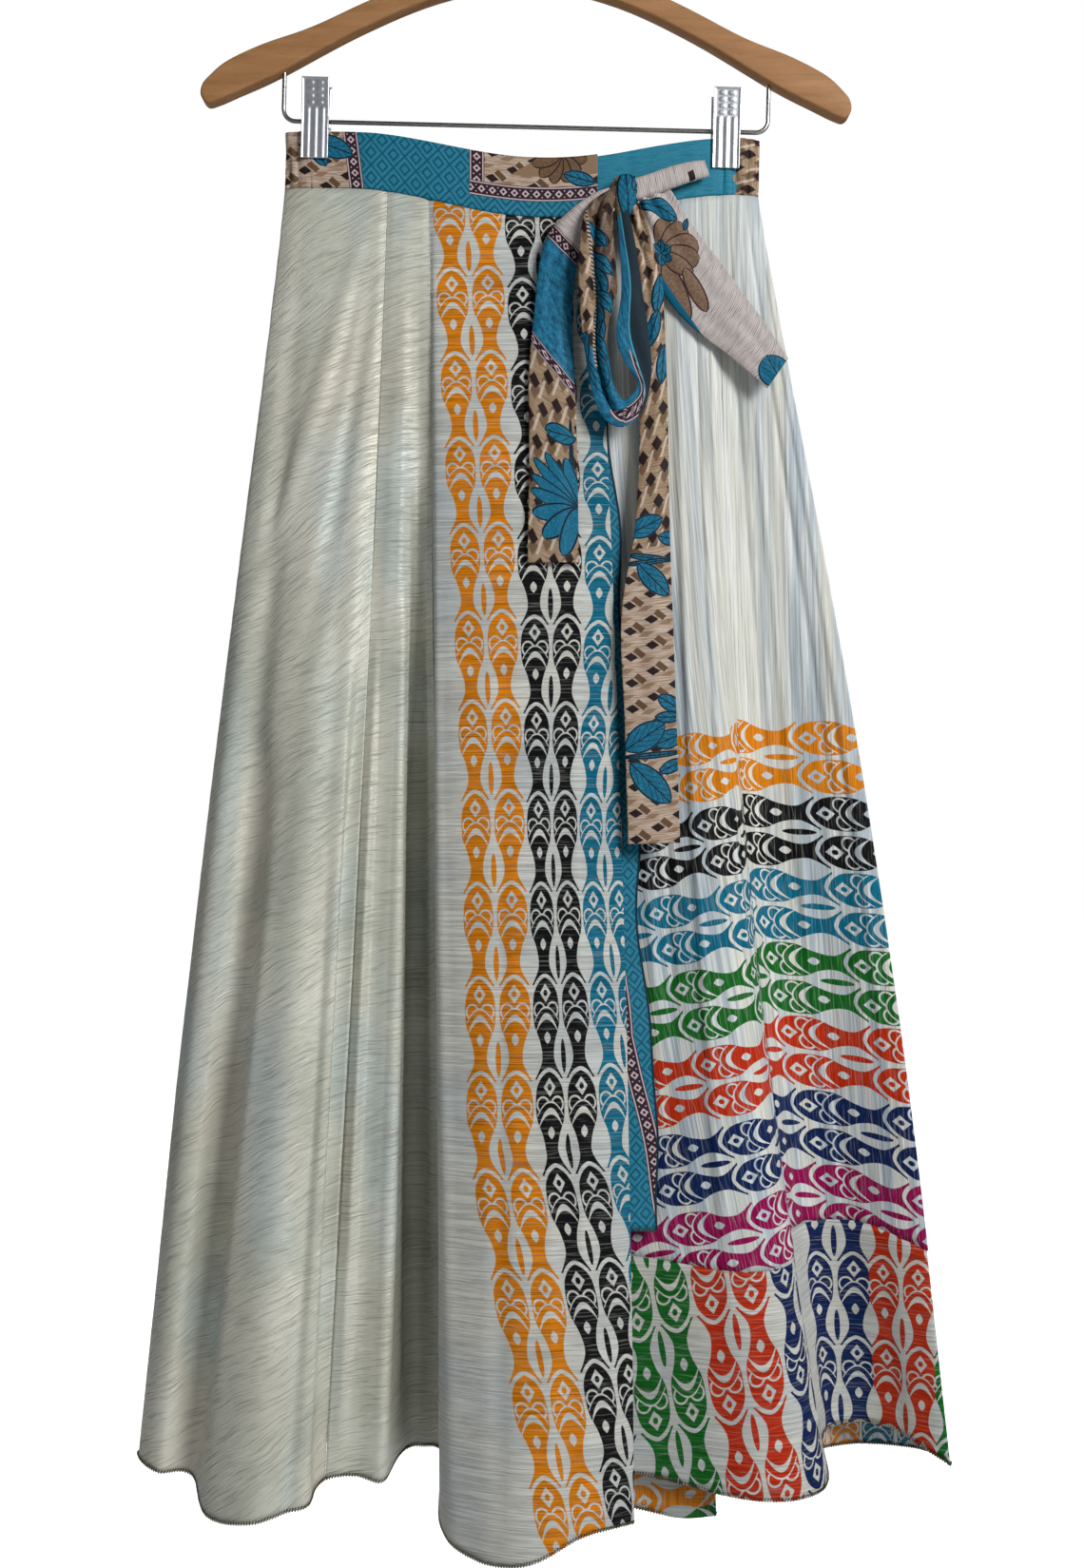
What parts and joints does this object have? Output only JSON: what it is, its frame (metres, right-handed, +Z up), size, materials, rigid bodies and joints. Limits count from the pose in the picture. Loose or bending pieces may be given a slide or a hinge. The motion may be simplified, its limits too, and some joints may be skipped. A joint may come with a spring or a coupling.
{
  "type": "wrap skirt on a hanger",
  "caption": "Long wrap skirt with a tied bow, hung by its waistband from a wooden hanger with two sliding trouser clips.",
  "frame": {"origin": "inside top of the hanger's hook, where a rail carries it", "axes": "+Z up, the front of the skirt faces -Y, +X to the right as seen from the front"},
  "size_m": [0.5572, 0.1712, 1.1399],
  "materials": {
    "satin_sage": "silk satin with slubs, pale sage grey with a faint iridescence",
    "slub_cream": "cream slub silk with woven columns of fish",
    "crinkle_silver": "silver crinkle silk with printed rows of fish near the hem",
    "fish_print": "cream slub silk printed with coloured columns of fish",
    "band_print": "teal printed crepe with a tone-on-tone diamond lattice",
    "tie_print": "printed crepe tie: trellis, leaves and fine stripes",
    "beech": "satin lacquered beech",
    "wire_steel": "bright drawn wire",
    "clip_chrome": "pressed chrome-plated steel"
  },
  "bodies": {
    "root": {"border_panel": "slub_cream", "front_gore": "satin_sage", "side_gore": "satin_sage", "back_left_gore": "satin_sage", "back_middle_gore": "crinkle_silver", "back_right_gore": "crinkle_silver", "right_gore": "crinkle_silver", "under_gore": "crinkle_silver", "right_hem_band": "fish_print", "under_hem_band": "fish_print", "under_inner_panel": "fish_print", "waistband_front": "band_print", "waistband_back": "band_print", "waistband_under": "band_print", "inner_panel": "band_print", "bow_knot": "tie_print", "left_tail": "tie_print", "left_loop_front": "tie_print", "left_loop_back": "tie_print", "right_tail": "tie_print", "right_loop_roll": "tie_print", "right_loop_flat": "tie_print", "hanger_arm_left": "beech", "hanger_arm_right": "beech", "hanger_hook": "wire_steel", "hanger_bar": "wire_steel", "clip_left_spring": "wire_steel", "clip_right_spring": "wire_steel", "clip_left_front": "clip_chrome", "clip_left_back": "clip_chrome", "clip_right_front": "clip_chrome", "clip_right_back": "clip_chrome"}
  },
  "joints": []
}
